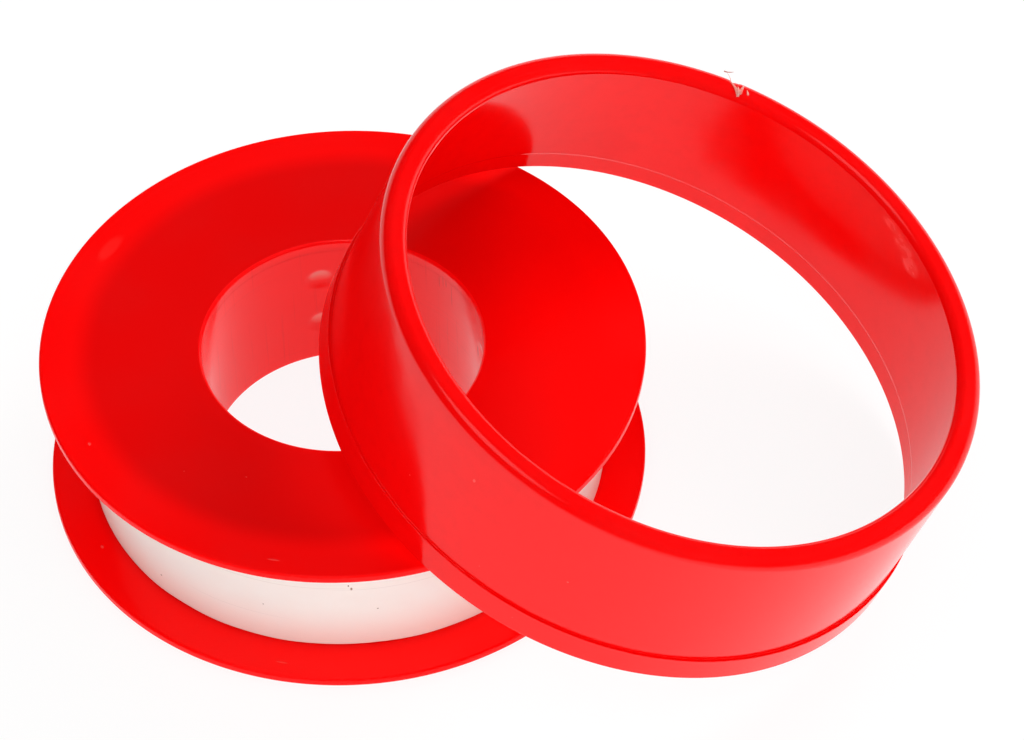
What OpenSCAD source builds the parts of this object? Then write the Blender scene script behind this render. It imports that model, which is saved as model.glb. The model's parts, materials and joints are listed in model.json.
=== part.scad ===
// Thread seal tape roll: a flanged spool wound with thin white tape, and the
// push-on cover ring, taken off and leaning on the edge of the top flange.
// The spool's bore axis is Z, and its lower flange stands on the plane z = 0.

/* [Tape] */
// Width of the tape
tape_w = 12; // [6:0.5:25]
// Thickness of the tape
tape_t = 0.1; // [0.06:0.02:0.3]
// How far the flanges stand out beyond the wound tape
flange_reach = 3.6; // [1.5:0.1:7]
// Direction in which the free end of the tape lies, in degrees
tail_turn = 70; // [0:1:359]

/* [Spool] */
// Diameter of the two flanges
flange_d = 52; // [44:0.5:80]
// Thickness of a flange beside the tape
flange_root_t = 1.15; // [1:0.05:3]
// Thickness of a flange at its rim
flange_rim_t = 0.8; // [0.6:0.05:0.9]
// Fall of a flange's outer face across its outer band
rim_drop = 0.1; // [0:0.05:0.2]
// Diameter of the bore
bore_d = 24.2; // [14:0.1:30]
// Wall of the barrel that the tape is wound on
barrel_wall = 1; // [0.8:0.1:2.5]
// Length of the top flange's collar over the neck of the barrel
collar_l = 3; // [1:0.5:5]

/* [Dimples in the bore] */
// Depth of a dimple in the wall
dimple_depth = 0.2; // [0.1:0.05:0.25]
// Height of a dimple
dimple_d = 2.4; // [1:0.1:3]
// Dimples in one row round the bore
dimple_count = 4; // [2:1:6]
// Distance of each of the two rows from the middle of the bore
dimple_row_offset = 2.7; // [1.6:0.1:3.5]
// Direction of the first dimple, in degrees
dimple_turn = 97.5; // [0:0.5:359]

/* [Cover ring] */
// Clearance between a flange's edge and the wall of the cover
cover_fit = 0.15; // [0.05:0.05:0.5]
// Thickness of the wall
cover_wall = 0.65; // [0.45:0.05:1.2]
// Height of the wider band at the open mouth
mouth_band_h = 2.55; // [1.5:0.05:5]
// Step by which the band is wider than the wall
mouth_step = 0.25; // [0.15:0.05:0.6]
// Width of the lip that stops the spool
lip_w = 1.6; // [1:0.05:3]
// Thickness of the lip
lip_t = 0.7; // [0.6:0.05:2]
// Free length between the lip and a spool pushed home
cover_end_gap = 1.1; // [0:0.05:1.5]

/* [Place of the cover ring] */
// Direction in which the cover lies from the spool, in degrees
cover_turn = -13.6; // [-180:0.1:180]
// Place on the cover's edge that rests on the flange, in degrees from its highest point
rest_angle = 60.2; // [45:0.1:70]
// Clearance between the cover's edge and the flange under it
rest_gap = 0.12; // [0.06:0.02:0.5]

/* [Hidden] */
$fn = 180;
red = "#e40a0c";
flange_red = "#ee0808";
tape_white = "#f2e6de";

// Edge rounding and the number of straight steps that make up each rounded edge
rim_edge_r = 0.2;
bore_edge_r = 0.3;
cover_rim_r = 0.9;
band_edge_r = 0.1;
corner_steps = 6;

// Full rounding of the lip's nose, and the flats that are left under the nose and at the mouth's edge
lip_nose_full_r = 1.2;
lip_land = 0.06;
mouth_land = 0.05;

// Clearances within the spool
tape_side_gap = 0.1;
wind_gap = 0.05;
neck_press_gap = 0.03;
collar_end_gap = 0.1;
turn_gap = 0.02;
turn_end_gap = 0.6;
turn_steps = 120;

// Radii and heights of the spool
flange_r = flange_d / 2;
bore_r = bore_d / 2;
barrel_r = bore_r + barrel_wall;
neck_r = bore_r + barrel_wall / 2;
tape_r = flange_r - flange_reach;
spool_h = tape_w + 2 * (tape_side_gap + flange_root_t);
seat_z = spool_h - flange_root_t;
shoulder_z = seat_z - collar_l;
tape_z = flange_root_t + tape_side_gap;
core_r = tape_r - turn_gap - 2 * tape_t;

// Sphere that hollows one dimple
dimple_ball_r = (pow(dimple_d / 2, 2) + pow(dimple_depth, 2)) / (2 * dimple_depth);

// Radii and heights of the cover, in its own frame with the open mouth at z = 0
wall_in_r = flange_r + cover_fit;
wall_out_r = wall_in_r + cover_wall;
band_in_r = wall_in_r + mouth_step;
band_out_r = wall_out_r + mouth_step;
mouth_chamfer = cover_wall - band_edge_r - mouth_land;
mouth_r = band_in_r + mouth_chamfer;
lip_in_r = wall_in_r - lip_w;
lip_nose_r = min(lip_nose_full_r, lip_w + cover_wall - cover_rim_r);
lip_nose_turn = acos(max(0, 1 - (lip_t - lip_land) / lip_nose_r));
cover_h = spool_h + cover_end_gap + lip_t;

// Rest of the cover: its mouth edge touches the floor at one point and lies on
// the flange's rim at two, which gives the tilt and the place of its centre
rest_z = spool_h - rim_drop + rest_gap;
foot_r = band_out_r - band_edge_r;
rest_rise = mouth_r * cos(rest_angle) + foot_r;
rest_slant = norm([rest_rise, band_edge_r]);
cover_tilt = asin((rest_z - band_edge_r) / rest_slant) + atan(band_edge_r / rest_rise);
cover_z = foot_r * sin(cover_tilt) + band_edge_r * (1 - cos(cover_tilt));
rest_side = mouth_r * sin(rest_angle);
rest_along = sqrt(pow(flange_r, 2) - pow(rest_side, 2));
cover_x = rest_along + mouth_r * cos(rest_angle) * cos(cover_tilt);

// Points of a rounded corner about a centre, from one angle to another
function corner(cx, cz, r, from, to) =
    [for (i = [0 : corner_steps])
        let (a = from + (to - from) * i / corner_steps)
        [cx + r * cos(a), cz + r * sin(a)]];

// Outline of a flange from its flat outer face, at height 0, round its rim to its inner face
function flange_edge() = concat(
    [[tape_r, 0]],
    corner(flange_r - rim_edge_r, rim_drop + rim_edge_r, rim_edge_r, -90, 0),
    corner(flange_r - rim_edge_r, rim_drop + flange_rim_t - rim_edge_r, rim_edge_r, 0, 90),
    [[tape_r, flange_root_t], [barrel_r, flange_root_t]]
);

// Point on the inside of the outer turn of tape, which climbs one thickness in a turn
function turn_point(i, rise) =
    let (r = core_r + turn_gap + tape_t * i / turn_steps + rise)
    let (sweep = 360 - turn_end_gap / tape_r * 180 / PI)
    let (a = tail_turn + sweep * i / turn_steps)
    [r * cos(a), r * sin(a)];

// Least distance between the first and the last third of the outer turn
turn_clear = min([
    for (i = [0 : turn_steps / 3])
        for (j = [turn_steps * 2 / 3 : turn_steps])
            norm(turn_point(i, tape_t) - turn_point(j, 0))]);
echo(str("Least gap of the outer turn to itself: ", turn_clear, " mm"));

// Lower flange, barrel and the stepped neck that takes the top flange's collar
module spool_body() {
    color(red)
        difference() {
            rotate_extrude()
                polygon(concat(
                    [[bore_r, 0]],
                    flange_edge(),
                    [[barrel_r, shoulder_z], [neck_r, shoulder_z], [neck_r, seat_z], [bore_r, seat_z]]
                ));
            bore_dimples();
        }
}

// Shallow round dimples in the wall of the bore, in two rows
module bore_dimples() {
    for (side = [-1, 1], i = [0 : dimple_count - 1])
        rotate([0, 0, dimple_turn + 360 * i / dimple_count])
            translate([bore_r + dimple_depth - dimple_ball_r, 0, spool_h / 2 + side * dimple_row_offset])
                sphere(dimple_ball_r);
}

// Upper flange: a disc over the end of the barrel with a collar pressed on the neck
module top_flange() {
    color(flange_red)
        translate([0, 0, spool_h])
            mirror([0, 0, 1])
                rotate_extrude()
                    polygon(concat(
                        corner(bore_r + bore_edge_r, bore_edge_r, bore_edge_r, 180, 270),
                        flange_edge(),
                        [[barrel_r, flange_root_t + collar_l - collar_end_gap],
                         [neck_r + neck_press_gap, flange_root_t + collar_l - collar_end_gap],
                         [neck_r + neck_press_gap, flange_root_t],
                         [bore_r, flange_root_t]]
                    ));
}

// Inner turns of the tape, wound tight on the barrel
module tape_core() {
    color(tape_white)
        translate([0, 0, tape_z])
            rotate_extrude()
                translate([barrel_r + wind_gap, 0])
                    square([core_r - barrel_r - wind_gap, tape_w]);
}

// Outermost turn of the tape, a strip that climbs over its own start to a free end
module tape_outer_turn() {
    color(tape_white)
        translate([0, 0, tape_z])
            linear_extrude(tape_w)
                polygon(concat(
                    [for (i = [0 : turn_steps]) turn_point(i, tape_t)],
                    [for (i = [turn_steps : -1 : 0]) turn_point(i, 0)]
                ));
}

// Cover ring: thin wall, wider band at the mouth and an inward lip at the other end, whose
// outer edge and nose are well rounded
module cover_section() {
    polygon(concat(
        [[mouth_r, 0]],
        corner(band_out_r - band_edge_r, band_edge_r, band_edge_r, -90, 0),
        [[band_out_r, mouth_band_h], [wall_out_r, mouth_band_h]],
        corner(wall_out_r - cover_rim_r, cover_h - cover_rim_r, cover_rim_r, 0, 90),
        corner(lip_in_r + lip_nose_r * sin(lip_nose_turn), cover_h - lip_nose_r, lip_nose_r,
               90, 90 + lip_nose_turn),
        [[lip_in_r, cover_h - lip_t],
         [wall_in_r, cover_h - lip_t],
         [wall_in_r, mouth_band_h],
         [band_in_r, mouth_band_h - mouth_step],
         [band_in_r, mouth_chamfer]]
    ));
}

module cover_ring() {
    color(red)
        rotate([0, 0, cover_turn])
            translate([cover_x, 0, cover_z])
                rotate([0, cover_tilt, 0])
                    rotate_extrude()
                        cover_section();
}

spool_body();
top_flange();
tape_core();
tape_outer_turn();
cover_ring();
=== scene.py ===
import json
import math

import bpy
import numpy as np
from mathutils import Matrix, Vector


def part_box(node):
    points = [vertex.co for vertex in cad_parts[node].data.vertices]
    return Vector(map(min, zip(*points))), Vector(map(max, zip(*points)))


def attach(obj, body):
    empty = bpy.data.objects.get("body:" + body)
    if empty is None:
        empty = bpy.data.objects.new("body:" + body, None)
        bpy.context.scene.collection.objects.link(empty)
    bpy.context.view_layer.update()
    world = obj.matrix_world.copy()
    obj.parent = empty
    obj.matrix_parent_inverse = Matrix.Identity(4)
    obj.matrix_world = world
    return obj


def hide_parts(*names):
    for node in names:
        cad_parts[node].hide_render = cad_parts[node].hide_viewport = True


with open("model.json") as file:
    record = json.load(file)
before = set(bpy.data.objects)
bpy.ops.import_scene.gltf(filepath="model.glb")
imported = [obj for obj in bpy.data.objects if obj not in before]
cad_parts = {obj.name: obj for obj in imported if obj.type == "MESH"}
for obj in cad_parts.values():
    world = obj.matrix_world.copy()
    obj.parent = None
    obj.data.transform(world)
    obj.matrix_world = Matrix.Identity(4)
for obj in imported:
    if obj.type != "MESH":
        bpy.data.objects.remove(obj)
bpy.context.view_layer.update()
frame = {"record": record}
mm = 0.001  # every dictionary below is in millimetres and degrees


# Shapes

arcPoints = {"tight": 7, "wide": 15, "wideR": 0.3}  # an arc has more points from wideR on
edgeHold = 0.03  # straight stretches end with a point this close to the arc, which keeps them flat


def heldShares(count, length):
    # Even shares of a length, the first and the last of them close to its ends
    near = edgeHold / length
    return np.linspace(near, 1 - near, count)


def roundedLoop(corners, step):
    # Closed outline from corners (r, z, radius) or (r, z, radius, step of the next stretch): each
    # corner is cut back on both sides by its radius times the tangent of half its turn and bridged
    # by an arc, and each straight stretch gets points about every step
    points = np.array([corner[:2] for corner in corners], float)
    radii = np.array([corner[2] for corner in corners], float)
    steps = [corner[3] if len(corner) > 3 else step for corner in corners]
    ahead = np.roll(points, -1, 0) - points
    ahead /= np.linalg.norm(ahead, axis=1)[:, None]
    behind = np.roll(ahead, 1, 0)
    sine = behind[:, 0] * ahead[:, 1] - behind[:, 1] * ahead[:, 0]
    turn = np.arctan2(sine, (behind * ahead).sum(1))
    cut = radii * np.abs(np.tan(turn / 2))
    starts = points - behind * cut[:, None]
    ends = points + ahead * cut[:, None]
    pieces = []
    for i in range(len(points)):
        side = np.array([-behind[i, 1], behind[i, 0]]) * np.sign(turn[i])
        arc = arcPoints["tight" if radii[i] < arcPoints["wideR"] else "wide"]
        swing = turn[i] * np.linspace(0, 1, arc)[:, None]
        middle = starts[i] + side * radii[i]
        spoke = -side * radii[i]
        across = np.array([-spoke[1], spoke[0]])
        pieces.append(middle + spoke * np.cos(swing) + across * np.sin(swing))
        run = starts[(i + 1) % len(points)] - ends[i]
        length = np.linalg.norm(run)
        if length > 3 * edgeHold:
            count = max(2, math.ceil(length / steps[i]))
            pieces.append(ends[i] + run * heldShares(count, length)[:, None])
    return np.concatenate(pieces)


def fromPolar(r, a, z):
    # Points at (r cos a, r sin a, z)
    return np.stack([r * np.cos(a), r * np.sin(a), z], -1)


def revolve(loop, around, warp=None):
    # Outline (r, z) carried once round the Z axis, after warp(r, z, a) has moved r and z at the
    # angle a where the wall isn't even
    angle = np.arange(around) * 2 * np.pi / around
    r, a = np.meshgrid(loop[:, 0], angle, indexing="ij")
    z = np.repeat(loop[:, 1][:, None], around, 1)
    if warp:
        r, z = warp(r, z, a)
    return fromPolar(r, a, z)


def gridFaces(rows, columns, closeRows=True):
    # Quads between neighbouring points of a grid: the last column runs on to the first, and so
    # does the last row unless the grid is left open
    index = np.arange(rows * columns).reshape(rows, columns)
    nextRow = np.roll(index, -1, 0)
    quads = np.stack([index, np.roll(index, -1, 1), np.roll(nextRow, -1, 1), nextRow], -1)
    return quads[: rows if closeRows else rows - 1].reshape(-1, 4)


def makePiece(name, points, quads, caps=(), finishes=None):
    # Mesh in metres from points in millimetres; the faces are turned over if the volume that they
    # enclose, a sixth of the sum of corner triple products, comes out negative; finishes numbers
    # each quad's material, and caps are the flat ends of an open grid
    points = points.reshape(-1, 3) * mm
    a, b, c, d = (points[quads[:, k]] for k in range(4))
    volume = (np.cross(a, b) * c).sum() + (np.cross(a, c) * d).sum()
    faces = [quads] + [cap[None] for cap in caps]
    if volume < 0:
        faces = [face[:, ::-1] for face in faces]
    totals = np.concatenate([np.full(len(face), face.shape[1]) for face in faces])
    starts = np.concatenate([[0], np.cumsum(totals)[:-1]])
    corners = np.concatenate([face.ravel() for face in faces])
    mesh = bpy.data.meshes.new(name)
    mesh.vertices.add(len(points))
    mesh.vertices.foreach_set("co", points.astype(np.float32).ravel())
    mesh.loops.add(len(corners))
    mesh.loops.foreach_set("vertex_index", corners.astype(np.int32))
    mesh.polygons.add(len(totals))
    mesh.polygons.foreach_set("loop_start", starts.astype(np.int32))
    if finishes is not None:
        mesh.polygons.foreach_set("material_index", finishes.astype(np.int32))
    mesh.update(calc_edges=True)
    mesh.validate()
    mesh.polygons.foreach_set("use_smooth", np.arange(len(totals)) < len(quads))
    piece = bpy.data.objects.new(name, mesh)
    bpy.context.scene.collection.objects.link(piece)
    return piece


def finishPiece(piece, body, slot, materials, *nodes):
    # The piece moves with its body, stands for its nodes and takes its materials
    for material in materials:
        piece.data.materials.append(material)
    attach(piece, body)
    if nodes:
        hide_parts(*nodes)
    print("piece", piece.name, len(piece.data.polygons), "faces")


# Material helpers

cloudSpan = (0.3, 0.7)  # most of a noise's values lie between these


def emptyTree(owner):
    # Cleared node tree of a material or a world
    owner.use_nodes = True
    owner.node_tree.nodes.clear()
    return owner.node_tree


def addNode(tree, kind, inputs=None, **settings):
    # One node; inputs gives a value or another node's output for each socket's name or number
    node = tree.nodes.new(kind)
    for key, value in settings.items():
        setattr(node, key, value)
    for key, value in (inputs or {}).items():
        if isinstance(value, bpy.types.NodeSocket):
            tree.links.new(value, node.inputs[key])
        else:
            node.inputs[key].default_value = value
    return node


def calc(tree, operation, first, second=0.0, third=0.0):
    inputs = {0: first, 1: second, 2: third}
    return addNode(tree, "ShaderNodeMath", inputs, operation=operation).outputs[0]


def times(tree, first, second):
    return calc(tree, "MULTIPLY", first, second)


def larger(tree, first, second):
    return calc(tree, "MAXIMUM", first, second)


def dot(tree, first, second):
    inputs = {0: first, 1: second}
    node = addNode(tree, "ShaderNodeVectorMath", inputs, operation="DOT_PRODUCT")
    return node.outputs["Value"]


def ramp(tree, value, low, high, toLow=0.0, toHigh=1.0):
    # Smooth step of a value from toLow at low to toHigh at high
    inputs = {"Value": value, "From Min": low, "From Max": high, "To Min": toLow, "To Max": toHigh}
    return addNode(tree, "ShaderNodeMapRange", inputs, interpolation_type="SMOOTHSTEP").outputs[0]


def noise(tree, vector, scale, detail=2.0, roughness=0.5):
    inputs = {"Vector": vector, "Scale": scale, "Detail": detail, "Roughness": roughness}
    return addNode(tree, "ShaderNodeTexNoise", inputs).outputs["Fac"]


def drawnNoise(tree, at, stretch, **settings):
    # Noise drawn out on a wall: the angle and the height each have a scale of their own
    inputs = {"X": times(tree, at["angle"], stretch[0]), "Y": times(tree, at["height"], stretch[1])}
    vector = addNode(tree, "ShaderNodeCombineXYZ", inputs).outputs[0]
    return noise(tree, vector, 1.0, **settings)


def mixLevel(tree, share, first, second):
    inputs = {0: share, 2: first, 3: second}  # the node's sockets for plain numbers
    return addNode(tree, "ShaderNodeMix", inputs).outputs[0]


def mixColor(tree, share, first, second):
    inputs = {0: share, 6: first, 7: second}  # the node's sockets for colours
    return addNode(tree, "ShaderNodeMix", inputs, data_type="RGBA").outputs[2]


def patch(tree, u, v, spot):
    # 1 in the inner half of the ellipse (middle u, half width, middle v, half height), fading to
    # 0 at its edge
    across = calc(tree, "DIVIDE", calc(tree, "SUBTRACT", u, spot[0]), spot[1])
    along = calc(tree, "DIVIDE", calc(tree, "SUBTRACT", v, spot[2]), spot[3])
    square = calc(tree, "MULTIPLY_ADD", across, across, times(tree, along, along))
    return ramp(tree, calc(tree, "SQRT", square), 1.0, 0.5)


def patches(tree, u, v, spots):
    level = 0.0
    for spot in spots:
        level = larger(tree, patch(tree, u, v, spot), level)
    return level


def dust(tree, vector, scale, size, keep, core=0.4):
    # Small round specks, one in a cell of a random lattice, in the share of the cells that is
    # kept; each is solid out to the core's share of its size
    cells = addNode(tree, "ShaderNodeTexVoronoi", {"Vector": vector, "Scale": scale}, feature="F1")
    chance = addNode(tree, "ShaderNodeSeparateColor", {0: cells.outputs["Color"]}).outputs[0]
    kept = calc(tree, "LESS_THAN", chance, keep)
    return times(tree, ramp(tree, cells.outputs["Distance"], size, size * core), kept)


def bump(tree, height, depth, normal=None):
    # Normal bent by a height pattern, whose full step is depth millimetres
    inputs = {"Strength": 1.0, "Distance": depth * mm, "Height": height}
    if normal is not None:
        inputs["Normal"] = normal
    return addNode(tree, "ShaderNodeBump", inputs).outputs[0]


def startPlastic(name, settings, constants=None):
    # Principled shader of a plastic that some light goes into, with any other constants of its
    # own, and the output that shows it
    material = bpy.data.materials.new(name)
    tree = emptyTree(material)
    inputs = {
        "IOR": settings["ior"],
        "Subsurface Weight": settings["glow"],
        "Subsurface Radius": settings["glowDepths"],
        "Subsurface Scale": mm,
    }
    shader = addNode(tree, "ShaderNodeBsdfPrincipled", {**inputs, **(constants or {})})
    addNode(tree, "ShaderNodeOutputMaterial", {"Surface": shader.outputs[0]})
    return material, tree, shader


def link(tree, shader, **outputs):
    for name, output in outputs.items():
        tree.links.new(output, shader.inputs[name.replace("_", " ")])


def polar(tree, centre=None, axes=None):
    # Object coordinates in millimetres, moved and turned into the piece's own frame, with the
    # distance from its axis, the angle about it in degrees and the height along it
    vector = addNode(tree, "ShaderNodeTexCoord").outputs["Object"]
    inputs = {"Vector": vector, "Scale": (mm, mm, mm)}
    if centre is not None:
        inputs["Location"] = [v * mm for v in centre]
        inputs["Rotation"] = axes.to_euler()
    vector = addNode(tree, "ShaderNodeMapping", inputs, vector_type="TEXTURE").outputs[0]
    x, y, z = addNode(tree, "ShaderNodeSeparateXYZ", {0: vector}).outputs
    flat = addNode(tree, "ShaderNodeCombineXYZ", {"X": x, "Y": y}).outputs[0]
    radius = addNode(tree, "ShaderNodeVectorMath", {0: flat}, operation="LENGTH").outputs["Value"]
    angle = times(tree, calc(tree, "ARCTAN2", y, x), 180 / math.pi)
    return {"vector": vector, "x": x, "radius": radius, "angle": angle, "height": z}


# Camera, at the place and with the long lens that give the photograph's view

cameraSettings = {
    "imageWidth": 1024,
    "sensorWidth": 36,
    "focalPixels": 4707.8,
    "distance": 414.13,
    "elevation": 48.657,
    "sideTurn": -2.039,
    "upTurn": 0.904,
    "roll": -3.656,
    "clipNear": 10,
    "clipFar": 20000,
}


def makeCamera(settings):
    # The camera looks at the bore's foot from the front, then turns aside, up and about its line
    # of sight, each time about an axis of its own
    lift = math.radians(settings["elevation"])
    back = Matrix.Rotation(-lift, 3, "X").col[1].copy()
    back.negate()
    axes = Matrix.Rotation(math.pi / 2 - lift, 3, "X")
    for name, axis in (("sideTurn", 1), ("upTurn", 0), ("roll", 2)):
        axes = Matrix.Rotation(math.radians(settings[name]), 3, axes.col[axis]) @ axes
    data = bpy.data.cameras.new("camera")
    data.sensor_width = settings["sensorWidth"]
    data.lens = settings["focalPixels"] / settings["imageWidth"] * settings["sensorWidth"]
    data.clip_start = settings["clipNear"] * mm
    data.clip_end = settings["clipFar"] * mm
    camera = bpy.data.objects.new("camera", data)
    camera.matrix_world = Matrix.Translation(back * settings["distance"] * mm) @ axes.to_4x4()
    bpy.context.scene.collection.objects.link(camera)
    bpy.context.scene.camera = camera


makeCamera(cameraSettings)
print("camera set")


# Spool

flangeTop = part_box("top_flange")[1] / mm
tapeFoot, tapeHead = (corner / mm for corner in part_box("tape_core"))
boreMount = next(m for m in frame["record"]["mounts"] if m["name"] == "bore")
spool = {
    "flangeR": flangeTop.x,
    "height": flangeTop.z,
    "boreR": boreMount["dims"]["r_mm"],
    "tapeR": 22.4,
    "rootT": 1.15,
    "rimT": 0.8,
    "rimDrop": 0.1,
    "barrelWall": 1.0,
    "collarL": 3.0,
    "collarGap": 0.1,
    "pressGap": 0.03,
    "rimRound": 0.2,
    "boreRound": 0.3,
    "footRound": 0.25,
    "seamRound": 0.015,
    "softRound": 6.0,
    "dimpleDepth": 0.2,
    "dimpleD": 2.4,
    "dimpleCount": 4,
    "dimpleRowOffset": 2.7,
    "dimpleTurn": 97.5,
    "around": 480,
    "bodyStep": 1.2,
    "boreStep": 0.2,
    "flangeStep": 0.5,
    # Both finishes
    "ior": 1.5,
    "glow": 0.35,
    "glowDepths": (1.6, 0.064, 0.048),  # for red, green and blue light
    # Flanges; patches are (radius, half width, angle, half angle)
    # The deeper red is painted shade over the tape and the barrel; the brighter red is painted
    # light for the thin outer band and the side towards the cover
    "discRed": (0.78, 0.0006, 0.0008, 1),
    "bandRed": (0.99, 0.0006, 0.0008, 1),
    "cloudRed": (0.5, 0.0008, 0.001, 1),
    "paleRed": (1.0, 0.16, 0.13, 1),
    # painted light: the band's glow from the tape's outside, and the lit side along X
    "bandFade": (-1.5, 1.2),  # from the tape's outside
    "leanFade": (10, 19),  # along X, towards the cover
    "cloudScale": 0.12,
    "cloudFade": (0.35, 0.75),
    "cloudShare": 0.05,
    "scuffs": [
        (24.6, 0.10, -106, 1.5),
        (23.8, 0.16, -156, 0.5),
        (19.3, 0.09, -136, 0.25),
        (16.9, 0.08, -121, 0.3),
    ],
    "scuffDepth": 0.03,
    "dust": (0.33, 0.030, 0.5),  # cells in a millimetre, size in cells, share kept
    "markShare": 0.30,
    "smudge": (23.65, 0.8, 146.5, 5.0),
    "smudgeShares": (0.05, 0.10),
    "flangeRough": (0.15, 0.21),
    "flangeGloss": 0.12,
    "grainScale": 2.2,
    "grainDepth": 0.0022,
    # Bore; patches are (angle, half angle, height, half height)
    "boreEdge": 0.7,  # share of the bore's rounding that has its finish
    "boreRed": (1.0, 0.0030, 0.0040, 1),
    "wornRed": (0.75, 0.004, 0.005, 1),
    "scratchRed": (0.45, 0.002, 0.003, 1),
    # pale pink of the painted highlight on each dimple's upper side
    "blushRed": (1.0, 0.22, 0.19, 1),
    "boreCloudScale": 0.3,
    "ringStretch": (0.012, 2.4),
    "ringFade": (0.55, 0.75),
    "ringDepth": 0.016,
    "scoreStretch": (0.8, 0.09),
    "scoreFade": (0.60, 0.70),
    "scoreFrom": (-20, 10),
    "scoreDepth": 0.006,
    "wornShare": 0.25,
    "scratches": [
        (36.3, 0.3, 11.8, 1.7),
        (43.6, 0.35, 12.6, 0.9),
        (41.4, 0.3, 12.9, 0.9),
        (39.6, 0.4, 12.9, 0.6),
    ],
    "scratchShare": 0.45,
    "nick": (14.4, 0.7, 9.2, 0.8),
    # painted highlight on the upper side of each dimple
    "blush": (0, 5.6, 0.30, 0.95),  # about the middle of a dimple
    "blushFade": (-0.5, 0.7),
    "boreRough": (0.12, 0.2),
    "boreGloss": 0.28,
}
spool["barrelR"] = spool["boreR"] + spool["barrelWall"]
spool["neckR"] = spool["boreR"] + spool["barrelWall"] / 2
spool["seatZ"] = spool["height"] - spool["rootT"]


def flangeCorners(s):
    # Corners of a flange from its flat outer face at height 0 round the rim to its inner face
    rimLow = s["rimDrop"]
    rimHigh = s["rimDrop"] + s["rimT"]
    return [
        (s["tapeR"], 0, s["softRound"]),
        (s["flangeR"], rimLow, s["rimRound"]),
        (s["flangeR"], rimHigh, s["rimRound"]),
        (s["tapeR"], s["rootT"], s["softRound"]),
        (s["barrelR"], s["rootT"], s["seamRound"]),
    ]


def addDimples(r, z, a, s):
    # Each dimple is cut by a sphere that reaches its depth beyond the wall: along the spoke at
    # angle a and height z the sphere's far side lies at c cos a plus the root of R squared less
    # z squared less (c sin a) squared
    ball = ((s["dimpleD"] / 2) ** 2 + s["dimpleDepth"] ** 2) / (2 * s["dimpleDepth"])
    middle = s["boreR"] + s["dimpleDepth"] - ball
    pitch = 2 * np.pi / s["dimpleCount"]
    swing = (a - math.radians(s["dimpleTurn"]) + pitch / 2) % pitch - pitch / 2
    rise = np.abs(z - s["height"] / 2) - s["dimpleRowOffset"]
    under = ball**2 - rise**2 - (middle * np.sin(swing)) ** 2
    reach = middle * np.cos(swing) + np.sqrt(np.maximum(under, 0))
    wall = np.abs(r - s["boreR"]) < s["seamRound"] / 4  # the rounded edges stay as they are
    return np.where(wall & (under > 0), np.maximum(r, reach), r), z


def inBore(loop, s):
    # 1 for the outline's points on the wall of the bore and its edges, else 0
    return (loop[:, 0] < s["boreR"] + s["boreRound"] * s["boreEdge"]).astype(int)


def makeSpoolBody(s):
    # Section of the lower flange, the barrel and its stepped neck, carried round the bore's axis
    shoulderZ = s["seatZ"] - s["collarL"]
    seam = s["seamRound"]
    corners = [(s["boreR"], 0, s["footRound"])] + flangeCorners(s) + [
        (s["barrelR"], shoulderZ, seam),
        (s["neckR"], shoulderZ, seam),
        (s["neckR"], s["seatZ"], seam),
        (s["boreR"], s["seatZ"], seam, s["boreStep"]),
    ]
    loop = roundedLoop(corners, s["bodyStep"])
    grid = revolve(loop, s["around"], lambda r, z, a: addDimples(r, z, a, s))
    finishes = np.repeat(inBore(loop, s), s["around"])
    return makePiece("spool_body_moulding", grid, gridFaces(*grid.shape[:2]), finishes=finishes)


def makeTopFlange(s):
    # Section of the upper flange and its collar, made upside down from height 0 and turned over,
    # then carried round the bore's axis
    collarEnd = s["rootT"] + s["collarL"] - s["collarGap"]
    collarR = s["neckR"] + s["pressGap"]
    seam = s["seamRound"]
    corners = [(s["boreR"], 0, s["boreRound"])] + flangeCorners(s) + [
        (s["barrelR"], collarEnd, seam),
        (collarR, collarEnd, seam),
        (collarR, s["rootT"], seam),
        (s["boreR"], s["rootT"], seam),
    ]
    loop = roundedLoop(corners, s["flangeStep"])
    loop[:, 1] = s["height"] - loop[:, 1]
    grid = revolve(loop, s["around"])
    finishes = np.repeat(inBore(loop, s), s["around"])
    return makePiece("top_flange_moulding", grid, gridFaces(*grid.shape[:2]), finishes=finishes)


def makeFlangeRed(s):
    # Satin red with painted light: a painted shade over the tape and the barrel, and painted light
    # in the thin outer band, where it stands in for light coming through, and on the side that the
    # cover ring leans on, where it stands in for light falling through the ring's opening
    constants = {"Specular IOR Level": s["flangeGloss"]}
    material, tree, shader = startPlastic("flange satin red", s, constants)
    at = polar(tree)
    outer = ramp(tree, at["radius"], *[s["tapeR"] + v for v in s["bandFade"]])
    # painted light on the band and on the side towards the cover, painted shade elsewhere on the
    # disc
    paintedLight = larger(tree, outer, ramp(tree, at["x"], *s["leanFade"]))
    shade = mixColor(tree, paintedLight, s["discRed"], s["bandRed"])
    cloud = noise(tree, at["vector"], s["cloudScale"])
    clouded = ramp(tree, cloud, *s["cloudFade"], 0.0, s["cloudShare"])
    shade = mixColor(tree, clouded, shade, s["cloudRed"])
    scuffs = patches(tree, at["radius"], at["angle"], s["scuffs"])
    specks = dust(tree, at["vector"], *s["dust"])
    marks = times(tree, larger(tree, scuffs, specks), s["markShare"])
    smudge = patch(tree, at["radius"], at["angle"], s["smudge"])
    smudge = times(tree, smudge, ramp(tree, cloud, *cloudSpan, *s["smudgeShares"]))
    marks = larger(tree, marks, smudge)
    link(tree, shader, Base_Color=mixColor(tree, marks, shade, s["paleRed"]))
    link(tree, shader, Roughness=ramp(tree, cloud, *cloudSpan, *s["flangeRough"]))
    grain = noise(tree, at["vector"], s["grainScale"], detail=3.0)
    normal = bump(tree, grain, s["grainDepth"])
    link(tree, shader, Normal=bump(tree, scuffs, s["scuffDepth"], normal))
    return material


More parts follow.
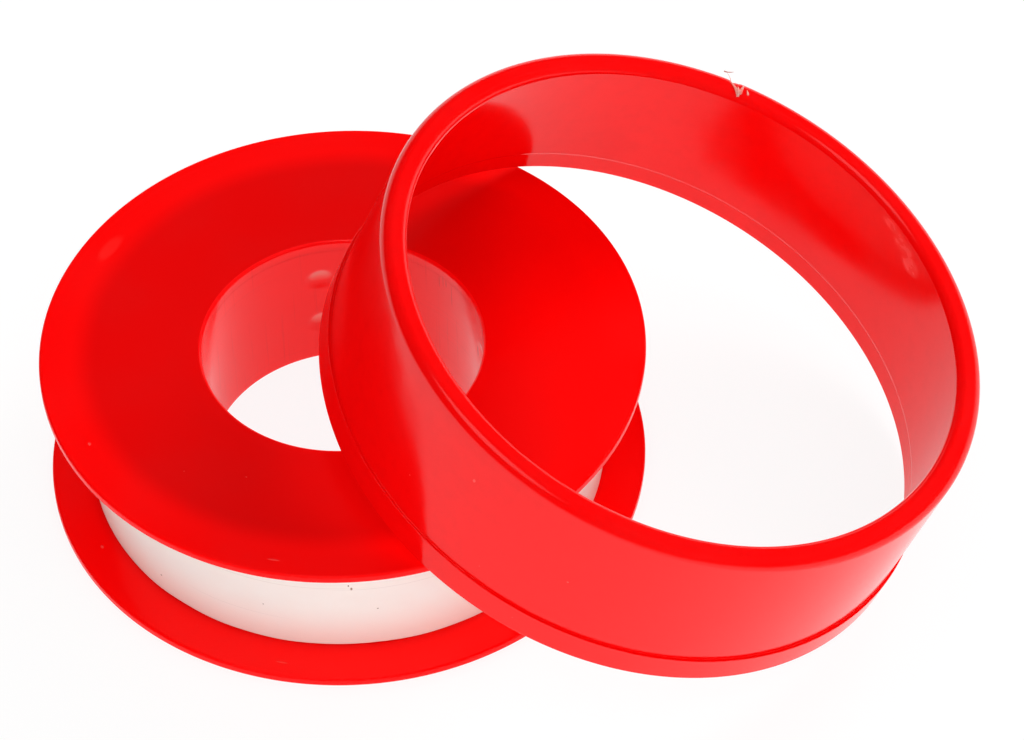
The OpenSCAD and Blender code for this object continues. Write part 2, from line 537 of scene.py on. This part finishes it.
def makeBoreRed(s):
    # Glossy red with the faint rings and upright scratches that the core pin left in the bore,
    # and a painted highlight on the upper side of each dimple
    constants = {"Specular IOR Level": s["boreGloss"]}
    material, tree, shader = startPlastic("bore gloss red", s, constants)
    at = polar(tree)
    cloud = noise(tree, at["vector"], s["boreCloudScale"])
    rings = drawnNoise(tree, at, s["ringStretch"], detail=4.0, roughness=0.6)
    scores = drawnNoise(tree, at, s["scoreStretch"], detail=2.0)
    scored = ramp(tree, at["angle"], *s["scoreFrom"])
    scored = times(tree, ramp(tree, scores, *s["scoreFade"]), scored)
    worn = calc(tree, "ADD", scored, ramp(tree, rings, *s["ringFade"]))
    base = mixColor(tree, times(tree, worn, s["wornShare"]), s["boreRed"], s["wornRed"])
    cuts = patches(tree, at["angle"], at["height"], s["scratches"])
    cuts = times(tree, cuts, s["scratchShare"])
    cuts = larger(tree, cuts, patch(tree, at["angle"], at["height"], s["nick"]))
    base = mixColor(tree, cuts, base, s["scratchRed"])
    halfTurn = 180 / s["dimpleCount"]
    aside = calc(tree, "SUBTRACT", at["angle"], s["dimpleTurn"])
    aside = calc(tree, "WRAP", aside, halfTurn, -halfTurn)
    halfRise = s["dimpleRowOffset"]
    above = calc(tree, "SUBTRACT", at["height"], s["height"] / 2 + halfRise)
    above = calc(tree, "WRAP", above, halfRise, -halfRise)
    # painted highlight on the upper side of each dimple
    blush = patch(tree, aside, above, s["blush"])
    blush = times(tree, blush, ramp(tree, above, *s["blushFade"]))
    link(tree, shader, Base_Color=mixColor(tree, blush, base, s["blushRed"]))
    link(tree, shader, Roughness=ramp(tree, cloud, *cloudSpan, *s["boreRough"]))
    normal = bump(tree, rings, s["ringDepth"])
    link(tree, shader, Normal=bump(tree, scored, s["scoreDepth"], normal))
    return material


spoolReds = [makeFlangeRed(spool), makeBoreRed(spool)]
spoolBody = makeSpoolBody(spool)
finishPiece(spoolBody, "spool", "spool_red", spoolReds, "spool_body")
topFlange = makeTopFlange(spool)
finishPiece(topFlange, "spool", "flange_red", spoolReds, "top_flange")


# Tape

tape = {
    "thickness": 0.1,
    "width": tapeHead.z - tapeFoot.z,
    "footZ": tapeFoot.z,
    "windGap": 0.05,
    "turnGap": 0.02,
    "tailTurn": 70,
    "endGap": 0.6,
    "edgeRound": 0.04,
    "edgeWave": 0.035,
    "edgeWaves": [(9, 0, 0.6), (23, 1.3, 0.4)],  # waves in a turn, phase, share
    "pucker": 0.025,
    "puckers": 14,
    "puckerSway": (3, 2.2),  # sways in a turn, size
    "puckerLean": 2,
    "tailSlant": 0.5,
    "slantPower": 40,  # keeps the slant to the very end
    "around": 480,
    "across": 40,
    "coreStep": 0.5,
    # Film; patches are (angle, half angle, height, half height)
    "ior": 1.38,
    "glow": 0.4,
    "glowDepths": (1.0, 0.8, 0.7),
    "white": (0.97, 0.88, 0.80, 1),
    "thin": (0.95, 0.80, 0.72, 1),
    "thinFade": (0.45, 0.75),
    "thinShare": 0.35,
    # painted red bounce light from the lower flange, fading upwards
    "tint": (1.0, 0.45, 0.36, 1),
    "tintH": 6.0,
    "tintShares": (0.40, 0.04),  # shares of painted bounce light: at the foot, and from the given height above it up
    "speckBrown": (0.30, 0.16, 0.10, 1),
    "specks": [
        (-91.4, 0.30, 8.5, 0.22),
        (-92.0, 0.22, 8.9, 0.14),
        (-138, 0.3, 3.1, 0.09),
        (-111, 0.22, 5.5, 0.07),
        (-86, 0.25, 5.7, 0.08),
        (-121, 0.2, 10.2, 0.05),
    ],
    "dust": (0.22, 0.016, 0.25),
    "lineGrey": (0.55, 0.42, 0.38, 1),
    "lines": [(-112, 30, 8.55, 0.035), (-80, 22, 8.35, 0.03), (-118, 16, 4.2, 0.025)],
    "lineShare": 0.35,
    "cloudStretch": (0.06, 0.25),
    "drawnStretch": (0.02, 1.6),
    "drawnSpan": (0.2, 0.8),
    "drawnDepth": 0.012,
    "rough": (0.38, 0.5),
}
tape["innerR"] = spool["barrelR"] + tape["windGap"]
tape["coreR"] = spool["tapeR"] - tape["turnGap"] - 2 * tape["thickness"]


def makeTapeCore(t):
    # Section of all the inner turns, a rectangle carried round the bore's axis
    edge = t["edgeRound"]
    head = t["footZ"] + t["width"]
    corners = [
        (t["innerR"], t["footZ"], edge),
        (t["coreR"], t["footZ"], edge),
        (t["coreR"], head, edge),
        (t["innerR"], head, edge),
    ]
    grid = revolve(roundedLoop(corners, t["coreStep"]), t["around"])
    return makePiece("tape_inner_turns", grid, gridFaces(*grid.shape[:2]))


def makeTapeTurn(t, s):
    # Strip whose section, a thin upright rectangle, is carried along a spiral that climbs one
    # thickness in a turn from its start under the free end; slow waves move its edges and pucker
    # it, and its end is slanted
    sweep = 2 * np.pi - t["endGap"] / s["tapeR"]
    up = np.concatenate([[0], heldShares(t["across"], t["width"]), [1]])
    level = np.concatenate([up, up[::-1]])[None, :]
    inner = heldShares(t["around"], sweep * s["tapeR"])
    along = np.concatenate([[0], inner, [1]])[:, None]
    slant = t["tailSlant"] / s["tapeR"] * (level - 1) * along ** t["slantPower"]
    share = along + slant / sweep
    angle = math.radians(t["tailTurn"]) + sweep * share
    wave = sum(part * np.sin(count * angle + phase) for count, phase, part in t["edgeWaves"])
    z = t["footZ"] + t["width"] * level + t["edgeWave"] * wave * (2 * level - 1)
    sways, swaySize = t["puckerSway"]
    sway = swaySize * np.sin(sways * angle)
    ripple = 0.5 + 0.5 * np.sin(t["puckers"] * angle + sway + t["puckerLean"] * level)
    lift = t["thickness"] * np.repeat([1.0, 0.0], len(up))[None, :]
    r = t["coreR"] + t["turnGap"] + t["thickness"] * share + lift
    r = r + t["pucker"] * ripple * np.sin(np.pi * along)
    grid = fromPolar(r, angle, z)
    rows, columns = grid.shape[:2]
    first = np.arange(columns)
    last = first + (rows - 1) * columns
    quads = gridFaces(rows, columns, closeRows=False)
    return makePiece("tape_outer_turn_strip", grid, quads, [first[::-1], last])


def makeTapeWhite(t):
    # Soft matt film: faint drawn lines along the winding, thinner stretches that let the turn
    # below show through, painted red bounce light near the lower flange, and a few specks
    material, tree, shader = startPlastic("tape white", t)
    at = polar(tree)
    drawn = drawnNoise(tree, at, t["drawnStretch"], detail=4.0, roughness=0.6)
    cloud = drawnNoise(tree, at, t["cloudStretch"])
    thin = times(tree, ramp(tree, cloud, *t["thinFade"]), t["thinShare"])
    base = mixColor(tree, thin, t["white"], t["thin"])
    # painted light: pink standing in for the lower flange's red bounce
    paintedBounceEnd = t["footZ"] + t["tintH"]
    tint = ramp(tree, at["height"], t["footZ"], paintedBounceEnd, *t["tintShares"])
    base = mixColor(tree, tint, base, t["tint"])
    lines = patches(tree, at["angle"], at["height"], t["lines"])
    base = mixColor(tree, times(tree, lines, t["lineShare"]), base, t["lineGrey"])
    specks = patches(tree, at["angle"], at["height"], t["specks"])
    specks = larger(tree, specks, dust(tree, at["vector"], *t["dust"]))
    link(tree, shader, Base_Color=mixColor(tree, specks, base, t["speckBrown"]))
    link(tree, shader, Roughness=ramp(tree, drawn, *t["drawnSpan"], *t["rough"]))
    link(tree, shader, Normal=bump(tree, drawn, t["drawnDepth"]))
    return material


tapeWhite = makeTapeWhite(tape)
tapeCore = makeTapeCore(tape)
finishPiece(tapeCore, "spool", "tape_white", [tapeWhite], "tape_core")
tapeTurn = makeTapeTurn(tape, spool)
finishPiece(tapeTurn, "spool", "tape_white", [tapeWhite], "tape_outer_turn")


# Cover ring

cover = {
    "fit": 0.15,
    "wall": 0.65,
    "bandH": 2.55,
    "step": 0.25,
    "lipW": 1.6,
    "lipT": 0.7,
    "lipLand": 0.06,
    "noseSet": 0.2,
    "noseRound": 0.75,
    "lipRound": 0.03,
    "endGap": 1.1,
    "turn": -13.6,
    "restAngle": 60.2,
    "restGap": 0.12,
    "rimRound": 0.9,
    "bandRound": 0.1,
    "mouthLand": 0.05,
    "mouthRound": 0.02,
    "ledgeRound": 0.05,
    "stepRound": 0.5,
    "innerRound": 0.12,
    "around": 660,
    "wallStep": 1.5,
    "rimStep": 0.2,
    "gateTurn": 89.2,
    "gateHalf": 0.7,
    "gateDepth": 0.2,
    "gateScallop": (9, 0.35),  # radians of wave in half the length, size
    "gateReach": (1.3, 1.2),  # inwards and down
    "gateLean": (0.6, 0.8),
    # Finish; patches are (angle, half angle, height, half height)
    "ior": 1.5,
    "glow": 0.6,
    "glowDepths": (2.0, 0.08, 0.06),
    "red": (0.83, 0.0010, 0.0014, 1),
    "deepRed": (0.79, 0.0010, 0.0014, 1),
    "mottleRed": (0.64, 0.0010, 0.0014, 1),
    "paleRed": (1.0, 0.12, 0.10, 1),
    "cloudScale": 0.12,
    "cloudFade": (0.35, 0.7),
    "mottleScale": 0.8,
    "mottleFade": (0.42, 0.68),
    "mottleShare": 0.15,
    "flowMark": [(47.8, 3.8, 13.4, 0.55), (43.8, 3.8, 12.95, 0.85), (40.4, 3.4, 12.3, 0.9)],
    "flowShare": 0.38,
    "flowRough": 0.2,
    "flowDepth": 0.02,
    "veinStretch": (0.35, 1.4),
    "veinFade": (0.35, 0.65),
    "veinShares": (0.4, 1.0),
    "spots": [(-120, 0.35, 12.0, 0.22), (-131, 0.2, 6.4, 0.1), (-97, 0.25, 8.2, 0.1)],
    "dust": (0.3, 0.026, 0.4),
    "dustShare": 0.4,
    "markShare": 0.6,
    "rough": (0.10, 0.15),
    "gloss": 0.33,
    "peelScale": 0.45,
    "peelDepth": 0.012,
}


def placeCover(c, s):
    # The mouth's edge stands on the floor at one point and lies on the flange's rim at two, which
    # gives the tilt: the rise between them over their distance along the lean
    c["wallInR"] = s["flangeR"] + c["fit"]
    c["wallOutR"] = c["wallInR"] + c["wall"]
    c["bandInR"] = c["wallInR"] + c["step"]
    c["bandOutR"] = c["wallOutR"] + c["step"]
    c["chamfer"] = c["wall"] - c["bandRound"] - c["mouthLand"]
    c["mouthR"] = c["bandInR"] + c["chamfer"]
    c["lipInR"] = c["wallInR"] - c["lipW"]
    c["height"] = s["height"] + c["endGap"] + c["lipT"]
    rest = math.radians(c["restAngle"])
    restZ = s["height"] - s["rimDrop"] + c["restGap"]
    footR = c["bandOutR"] - c["bandRound"]
    rise = c["mouthR"] * math.cos(rest) + footR
    slant = math.hypot(rise, c["bandRound"])
    tilt = math.asin((restZ - c["bandRound"]) / slant) + math.atan(c["bandRound"] / rise)
    along = math.sqrt(s["flangeR"] ** 2 - (c["mouthR"] * math.sin(rest)) ** 2)
    x = along + c["mouthR"] * math.cos(rest) * math.cos(tilt)
    z = footR * math.sin(tilt) + c["bandRound"] * (1 - math.cos(tilt))
    turn = Matrix.Rotation(math.radians(c["turn"]), 3, "Z")
    c["axes"] = turn @ Matrix.Rotation(tilt, 3, "Y")
    c["centre"] = turn @ Matrix.Translation((x, 0, z)).translation
    print("cover tilt", round(math.degrees(tilt), 3), "centre", [round(v, 3) for v in c["centre"]])


def biteRim(r, z, a, c):
    # Where the moulding's gate was torn off, the rim's outer edge is sunk: the depth falls off as
    # the square of the cosine of the distance along the rim, and is scalloped by a finer wave
    away = (np.degrees(a) - c["gateTurn"] + 180) % 360 - 180
    along = np.radians(away) * c["wallOutR"] / c["gateHalf"]
    dip = np.where(np.abs(along) < 1, np.cos(np.pi / 2 * along) ** 2, 0)
    scallops, scallopSize = c["gateScallop"]
    dip = dip * (1 + scallopSize * np.sin(scallops * along))
    inwards, down = c["gateReach"]
    edge = np.clip((r - c["wallOutR"] + inwards) / inwards, 0, 1)
    edge = edge * np.clip((z - c["height"] + down) / down, 0, 1)
    sunk = c["gateDepth"] * dip * edge
    leanR, leanZ = c["gateLean"]
    return r - leanR * sunk, z - leanZ * sunk


def toRoom(points, c):
    # From the ring's own frame into the spool's
    return points @ np.array(c["axes"]).T + np.array(c["centre"])


def makeCover(c):
    # Section of the thin wall with its band and lip, carried round the ring's own axis; the lip's
    # nose is one arc from the flat top to a steep line that ends at the lip's inside
    head = c["height"]
    corners = [
        (c["mouthR"], 0, c["mouthRound"]),
        (c["bandOutR"], 0, c["bandRound"]),
        (c["bandOutR"], c["bandH"], c["ledgeRound"]),
        (c["wallOutR"], c["bandH"], c["ledgeRound"]),
        (c["wallOutR"], head, c["rimRound"], c["rimStep"]),
        (c["lipInR"] + c["noseSet"], head, c["noseRound"]),
        (c["lipInR"], head - c["lipT"] + c["lipLand"], c["lipRound"]),
        (c["lipInR"], head - c["lipT"], c["lipRound"]),
        (c["wallInR"], head - c["lipT"], c["innerRound"]),
        (c["wallInR"], c["bandH"], c["stepRound"]),
        (c["bandInR"], c["bandH"] - c["step"], c["innerRound"]),
        (c["bandInR"], c["chamfer"], c["innerRound"]),
    ]
    loop = roundedLoop(corners, c["wallStep"])
    grid = toRoom(revolve(loop, c["around"], lambda r, z, a: biteRim(r, z, a, c)), c)
    return makePiece("cover_ring_moulding", grid, gridFaces(*grid.shape[:2]))


def makeCoverRed(c):
    # Glossy red with a slight orange peel, a pale flow mark inside the wall and a few small scuffs
    material, tree, shader = startPlastic("cover gloss red", c, {"Specular IOR Level": c["gloss"]})
    at = polar(tree, c["centre"], c["axes"])
    cloud = noise(tree, at["vector"], c["cloudScale"])
    base = mixColor(tree, ramp(tree, cloud, *c["cloudFade"]), c["red"], c["deepRed"])
    mottle = noise(tree, at["vector"], c["mottleScale"], detail=4.0, roughness=0.65)
    mottle = ramp(tree, mottle, *c["mottleFade"], 0.0, c["mottleShare"])
    base = mixColor(tree, mottle, base, c["mottleRed"])
    inside = calc(tree, "LESS_THAN", at["radius"], c["wallInR"] + c["wall"] / 2)
    veins = drawnNoise(tree, at, c["veinStretch"], detail=4.0)
    flow = times(tree, patches(tree, at["angle"], at["height"], c["flowMark"]), inside)
    flow = times(tree, flow, ramp(tree, veins, *c["veinFade"], *c["veinShares"]))
    outside = calc(tree, "SUBTRACT", 1.0, inside)
    spots = times(tree, patches(tree, at["angle"], at["height"], c["spots"]), outside)
    specks = times(tree, dust(tree, at["vector"], *c["dust"]), c["dustShare"])
    marks = times(tree, larger(tree, spots, specks), c["markShare"])
    pale = larger(tree, times(tree, flow, c["flowShare"]), marks)
    link(tree, shader, Base_Color=mixColor(tree, pale, base, c["paleRed"]))
    rough = ramp(tree, cloud, *cloudSpan, *c["rough"])
    link(tree, shader, Roughness=calc(tree, "MULTIPLY_ADD", flow, c["flowRough"], rough))
    peel = noise(tree, at["vector"], c["peelScale"], detail=1.0)
    normal = bump(tree, peel, c["peelDepth"])
    link(tree, shader, Normal=bump(tree, flow, c["flowDepth"], normal))
    return material


# Torn plastic at the gate: slivers given by root, middle and tip as (r, distance along the rim,
# z above the rim's top), with their width and thickness at the root
gateScar = {
    "slivers": [
        ((24.92, -0.66, -0.20), (25.45, -0.20, 0.05), (26.12, 0.42, 0.00), 0.50, 0.10),
        ((24.90, -0.72, -0.20), (25.50, -0.74, 0.06), (26.22, -0.90, -0.03), 0.42, 0.10),
        ((24.88, -0.69, -0.18), (25.30, -0.50, 0.07), (25.80, -0.36, 0.06), 0.36, 0.10),
        ((25.30, -1.48, -0.05), (25.55, -1.38, 0.05), (25.90, -1.24, 0.00), 0.26, 0.08),
        ((26.25, 0.36, -0.12), (26.30, 0.62, 0.26), (26.36, 1.02, 0.58), 0.07, 0.06),
        ((26.40, 1.30, 0.60), (26.50, 0.88, 0.57), (26.68, 0.42, 0.66), 0.15, 0.10),
    ],
    "pathEnd": 0.995,  # share of the way to the tip
    "faceUp": (0.2, 0.0, 1.0),  # where the flat side looks
    "along": 24,
    "round": 10,
    "ior": 1.5,
    "glow": 0.6,
    "glowDepths": (0.6, 0.2, 0.15),
    "torn": (1.0, 0.34, 0.28, 1),
    "tornDeep": (0.95, 0.10, 0.08, 1),
    # painted shade on the curl of the thread that stands up
    "tornDull": (0.30, 0.13, 0.11, 1),
    "curlFade": (0.35, 0.55),  # above the rim's top
    "streakScale": 3.0,
    "streakFade": (0.35, 0.6),
    "streakShares": (0.3, 1.0),
    "streakDepth": 0.02,
    "rough": 0.35,
}


def makeGateScar(g, c):
    # Each sliver is an oval, flat on the rim, carried along a curve through its root, middle and
    # tip (a parabola in the distance along it), narrowing as the root of the distance to the tip
    t = np.linspace(0, g["pathEnd"], g["along"])[:, None]
    turn = np.linspace(0, 2 * np.pi, g["round"], endpoint=False)[None, :, None]
    quads = gridFaces(g["along"], g["round"], closeRows=False)
    count = g["along"] * g["round"]
    grids = []
    faces = []
    caps = []
    for k, (root, middle, tip, width, thickness) in enumerate(g["slivers"]):
        root, middle, tip = (np.array(p) for p in (root, middle, tip))
        bend = 2 * (root + tip - 2 * middle)
        path = root + (4 * middle - 3 * root - tip) * t + bend * t**2
        ahead = np.gradient(path, axis=0)
        ahead /= np.linalg.norm(ahead, axis=1)[:, None]
        side = np.cross(ahead, g["faceUp"])
        side /= np.linalg.norm(side, axis=1)[:, None]
        face = np.cross(side, ahead)
        thin = np.sqrt(1 - t)[:, None] / 2
        across = side[:, None] * width * np.cos(turn)
        deep = face[:, None] * thickness * np.sin(turn)
        r, distance, z = np.moveaxis(path[:, None] + thin * (across + deep), -1, 0)
        angle = math.radians(c["gateTurn"]) + distance / c["wallOutR"]
        grids.append(fromPolar(r, angle, z + c["height"]).reshape(-1, 3))
        faces.append(quads + k * count)
        first = np.arange(g["round"]) + k * count
        caps += [first[::-1], first + count - g["round"]]
    points = toRoom(np.concatenate(grids), c)
    return makePiece("cover_gate_slivers", points, np.concatenate(faces), caps)


def makeTornRed(g, c):
    # Torn plastic goes pale where it was stretched, and the curl of the thread that stands up
    # has a painted shade
    material, tree, shader = startPlastic("torn pale red", g, {"Roughness": g["rough"]})
    at = polar(tree, c["centre"], c["axes"])
    streaks = noise(tree, at["vector"], g["streakScale"], detail=3.0)
    share = ramp(tree, streaks, *g["streakFade"], *g["streakShares"])
    shade = mixColor(tree, share, g["tornDeep"], g["torn"])
    # painted shade, darker higher up the curl
    curlShade = ramp(tree, at["height"], *[c["height"] + v for v in g["curlFade"]])
    link(tree, shader, Base_Color=mixColor(tree, curlShade, shade, g["tornDull"]))
    link(tree, shader, Normal=bump(tree, streaks, g["streakDepth"]))
    return material


placeCover(cover, spool)
coverRing = makeCover(cover)
finishPiece(coverRing, "cover", "cover_red", [makeCoverRed(cover)], "cover_ring")
gateSlivers = makeGateScar(gateScar, cover)
finishPiece(gateSlivers, "cover", "cover_red", [makeTornRed(gateScar, cover)])


# Floor and light

studio = {
    "floorSize": 6000,
    "floorDrop": 0.02,
    "floorGlow": 0.88,
    "floorShade": 0.13,
    "floorBounce": 0.5,
    "floorLift": 0.6,
    "frontWhite": 120,
    "frontFade": 60,
    "frontDark": 0.05,
    "ambient": 1.0,
    "ambientSlope": (0.42, -0.12, -0.28),
    "ceiling": 0.02,
    "horizonBack": 0.28,
    "horizonFront": -0.15,
    "horizonFade": (0.0, 0.6),  # from the front's height to the back's
    "horizonSoft": 0.10,
    "softbox": (-0.21, -0.30, 0.93),
    "softboxHalf": 17,
    "softboxFade": (1.3, 0.7),  # shares of its half angle
    "softboxLevel": 1.8,
    "lamps": [  # name, place, size, power
        ("key", (400, 350, 330), 300, 1.6),
        ("fill", (160, -540, 230), 400, 0.55),
        ("low fill", (-150, -545, 80), 300, 0.45),
    ],
}


def backgroundRays(tree):
    # 1 for rays that look at the background: from the camera, off a gloss or through clear things
    path = addNode(tree, "ShaderNodeLightPath").outputs
    seen = calc(tree, "ADD", path["Is Camera Ray"], path["Is Transmission Ray"])
    return path, calc(tree, "MINIMUM", calc(tree, "ADD", seen, path["Is Glossy Ray"]), 1.0)


def glowAndDiffuse(tree, strength, grey):
    # White glow of a strength on top of a diffuse grey
    glow = addNode(tree, "ShaderNodeEmission", {"Color": (1, 1, 1, 1), "Strength": strength})
    diffuse = addNode(tree, "ShaderNodeBsdfDiffuse", {"Color": (grey, grey, grey, 1)})
    inputs = {0: glow.outputs[0], 1: diffuse.outputs[0]}
    return addNode(tree, "ShaderNodeAddShader", inputs).outputs[0]


def makeFloor(s):
    # White as the camera sees it, with the object's soft shadow; gloss sees it end a little way
    # in front
    half = s["floorSize"] * mm / 2
    corners = [(-half, -half), (half, -half), (half, half), (-half, half)]
    mesh = bpy.data.meshes.new("floor")
    mesh.from_pydata([(x, y, -s["floorDrop"] * mm) for x, y in corners], [], [(0, 1, 2, 3)])
    floor = bpy.data.objects.new("floor", mesh)
    bpy.context.scene.collection.objects.link(floor)
    material = bpy.data.materials.new("pale floor")
    tree = emptyTree(material)
    path, seen = backgroundRays(tree)
    place = addNode(tree, "ShaderNodeTexCoord").outputs["Object"]
    forward = addNode(tree, "ShaderNodeSeparateXYZ", {0: place}).outputs["Y"]
    ends = -(s["frontWhite"] + s["frontFade"]) * mm
    near = ramp(tree, forward, ends, -s["frontWhite"] * mm, s["frontDark"], 1.0)
    level = mixLevel(tree, path["Is Glossy Ray"], 1.0, near)
    shown = glowAndDiffuse(tree, times(tree, level, s["floorGlow"]), s["floorShade"])
    bounced = glowAndDiffuse(tree, s["floorLift"], s["floorBounce"])
    mixed = addNode(tree, "ShaderNodeMixShader", {0: seen, 1: bounced, 2: shown})
    addNode(tree, "ShaderNodeOutputMaterial", {"Surface": mixed.outputs[0]})
    material.cycles.emission_sampling = "NONE"
    mesh.materials.append(material)


def makeWorld(s):
    # Even light; the camera sees white, and gloss sees a white backdrop behind, dark above it and
    # in front, and a soft round light overhead
    world = bpy.data.worlds.new("studio")
    world.cycles.sampling_method = "NONE"
    bpy.context.scene.world = world
    tree = emptyTree(world)
    direction = addNode(tree, "ShaderNodeTexCoord").outputs["Generated"]
    way = addNode(tree, "ShaderNodeSeparateXYZ", {0: direction}).outputs
    ambient = calc(tree, "ADD", dot(tree, direction, s["ambientSlope"]), s["ambient"])
    horizon = ramp(tree, way["Y"], *s["horizonFade"], s["horizonFront"], s["horizonBack"])
    above = calc(tree, "SUBTRACT", way["Z"], horizon)
    backdrop = ramp(tree, above, -s["horizonSoft"], s["horizonSoft"], 1.0, s["ceiling"])
    facing = dot(tree, direction, np.array(s["softbox"]) / np.linalg.norm(s["softbox"]))
    edge, core = (math.cos(math.radians(s["softboxHalf"] * v)) for v in s["softboxFade"])
    softbox = ramp(tree, facing, edge, core, 0.0, s["softboxLevel"])
    mirrored = larger(tree, backdrop, softbox)
    path = addNode(tree, "ShaderNodeLightPath").outputs
    level = mixLevel(tree, path["Is Glossy Ray"], ambient, mirrored)
    direct = larger(tree, path["Is Camera Ray"], path["Is Transmission Ray"])
    level = mixLevel(tree, direct, level, 1.0)
    shader = addNode(tree, "ShaderNodeBackground", {"Color": (1, 1, 1, 1), "Strength": level})
    addNode(tree, "ShaderNodeOutputWorld", {"Surface": shader.outputs[0]})


def makeLamp(name, place, size, power):
    # Round soft light at a place, facing the bore's foot
    data = bpy.data.lights.new(name, "AREA")
    data.shape = "DISK"
    data.size = size * mm
    data.energy = power
    lamp = bpy.data.objects.new(name, data)
    lamp.location = [v * mm for v in place]
    lamp.rotation_euler = lamp.location.to_track_quat("Z", "Y").to_euler()
    lamp.visible_glossy = False
    bpy.context.scene.collection.objects.link(lamp)


makeFloor(studio)
makeWorld(studio)
for lampSettings in studio["lamps"]:
    makeLamp(*lampSettings)
bpy.context.scene.view_settings.view_transform = "Standard"
print("floor and light set")
